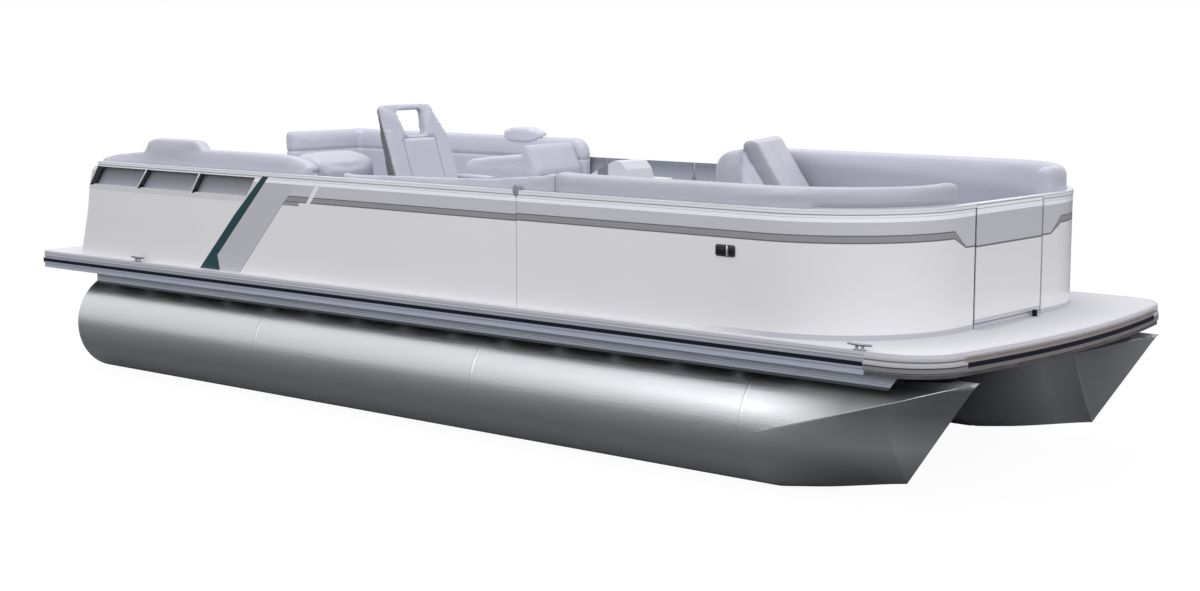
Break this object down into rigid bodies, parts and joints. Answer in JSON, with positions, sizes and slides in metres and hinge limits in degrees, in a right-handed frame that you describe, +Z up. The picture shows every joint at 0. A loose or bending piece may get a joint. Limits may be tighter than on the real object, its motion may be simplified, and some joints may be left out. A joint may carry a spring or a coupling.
{
  "type": "pontoon boat",
  "caption": "Open twin-tube pontoon boat with a flat railed deck, bow and aft lounge seating, a side helm with swivel chair, and bow, side and stern gates.",
  "frame": {"origin": "middle of the footprint, on the plane the keels stand on", "axes": "+X to the bow, +Y to port, +Z up"},
  "size_m": [7.0658, 2.59, 1.83],
  "materials": {
    "tube_aluminium": "brushed tube skin, semi gloss",
    "frame_aluminium": "mill finish",
    "deck_vinyl": "woven vinyl, matte",
    "rub_rail": "satin taupe grey",
    "rub_insert": "satin near-black navy",
    "corner_cap": "satin light grey",
    "skirt": "blue-grey, fine ribs",
    "panel": "gloss light grey with a dark stripe band",
    "rail": "satin anodised",
    "hinge": "polished",
    "base": "moulded plastic",
    "cushion": "soft vinyl, pale lavender-grey",
    "console": "moulded, gloss",
    "dark_plastic": "satin black",
    "chair_metal": "brushed",
    "rubber_black": "matte black"
  },
  "bodies": {
    "hull": {"bow_gate_hinges": "hinge", "chair_pedestal": "chair_metal", "chaise_back": "cushion", "chaise_shell": "base", "cleats": "rail", "corner_caps": "corner_cap", "cross_members": "frame_aluminium", "deck": "deck_vinyl", "gate_bumper": "rubber_black", "helm_console": "console", "ladder_brackets": "rail", "motor_pod": "frame_aluminium", "panel_lights": "dark_plastic", "port_aft_arm": "cushion", "port_aft_back": "cushion", "port_aft_base": "base", "port_aft_corner_seat": "cushion", "port_bow_back": "cushion", "port_bow_base": "base", "port_bow_corner_seat": "cushion", "port_bow_panel": "panel", "port_gate_hinges": "hinge", "port_headrest": "cushion", "port_pontoon": "tube_aluminium", "port_side_panel": "panel", "riser_brackets": "frame_aluminium", "rub_insert": "rub_insert", "rub_rail": "rub_rail", "side_skirts": "skirt", "starboard_aft_arm": "cushion", "starboard_aft_back": "cushion", "starboard_aft_base": "base", "starboard_bow_back": "cushion", "starboard_bow_base": "base", "starboard_bow_panel": "panel", "starboard_bow_rest": "cushion", "starboard_pontoon": "tube_aluminium", "starboard_side_pad": "cushion", "starboard_side_panel": "panel", "steering_column": "dark_plastic", "stern_fence": "panel", "stern_gate_hinges": "hinge", "throttle": "dark_plastic", "top_rails": "rail"},
    "bow_gate": {"bow_gate": "panel"},
    "port_gate": {"port_gate": "panel"},
    "stern_gate": {"stern_gate": "panel"},
    "steering_wheel": {"steering_wheel": "dark_plastic"},
    "captains_chair": {"chair_swivel": "chair_metal", "chair_seat": "cushion", "chair_back": "cushion", "chair_arms": "cushion"},
    "boarding_ladder": {"boarding_ladder": "rail"},
    "chaise_lid": {"starboard_bow_seat": "cushion"},
    "port_bow_lid": {"port_bow_seat": "cushion"},
    "starboard_aft_lid": {"starboard_aft_seat": "cushion"},
    "port_aft_lid": {"port_aft_seat": "cushion"}
  },
  "joints": [
    {"name": "bow_gate_hinge", "type": "hinge", "parent": "hull", "child": "bow_gate", "pos_m": [3.0575, 0.346, 1.09], "axis": [0, 0, -1], "range_deg": [0, 90]},
    {"name": "port_gate_hinge", "type": "hinge", "parent": "hull", "child": "port_gate", "pos_m": [0.1735, 1.17, 1.09], "axis": [0, 0, 1], "range_deg": [0, 90]},
    {"name": "stern_gate_hinge", "type": "hinge", "parent": "hull", "child": "stern_gate", "pos_m": [-2.9825, -0.386, 1.09], "axis": [0, 0, -1], "range_deg": [0, 90]},
    {"name": "steering", "type": "hinge", "parent": "hull", "child": "steering_wheel", "pos_m": [0.4275, -0.64, 1.295], "axis": [-0.848, 0, 0.5299], "range_deg": [-540, 540]},
    {"name": "chair_swivel", "type": "hinge", "parent": "hull", "child": "captains_chair", "pos_m": [-0.4825, -0.455, 1.14], "axis": [0, 0, 1], "continuous": true},
    {"name": "ladder_fold", "type": "hinge", "parent": "hull", "child": "boarding_ladder", "pos_m": [-3.5175, 0.79, 0.86], "axis": [0, -1, 0], "range_deg": [0, 235]},
    {"name": "chaise_lid_hinge", "type": "hinge", "parent": "hull", "child": "chaise_lid", "pos_m": [1.3705, -0.79, 1.215], "axis": [0, -1, 0], "range_deg": [0, 75]},
    {"name": "port_bow_lid_hinge", "type": "hinge", "parent": "hull", "child": "port_bow_lid", "pos_m": [1.8845, 1.085, 1.215], "axis": [-1, 0, 0], "range_deg": [0, 80]},
    {"name": "starboard_aft_lid_hinge", "type": "hinge", "parent": "hull", "child": "starboard_aft_lid", "pos_m": [-2.1225, -1.085, 1.215], "axis": [1, 0, 0], "range_deg": [0, 80]},
    {"name": "port_aft_lid_hinge", "type": "hinge", "parent": "hull", "child": "port_aft_lid", "pos_m": [-1.8925, 1.085, 1.215], "axis": [-1, 0, 0], "range_deg": [0, 80]}
  ]
}
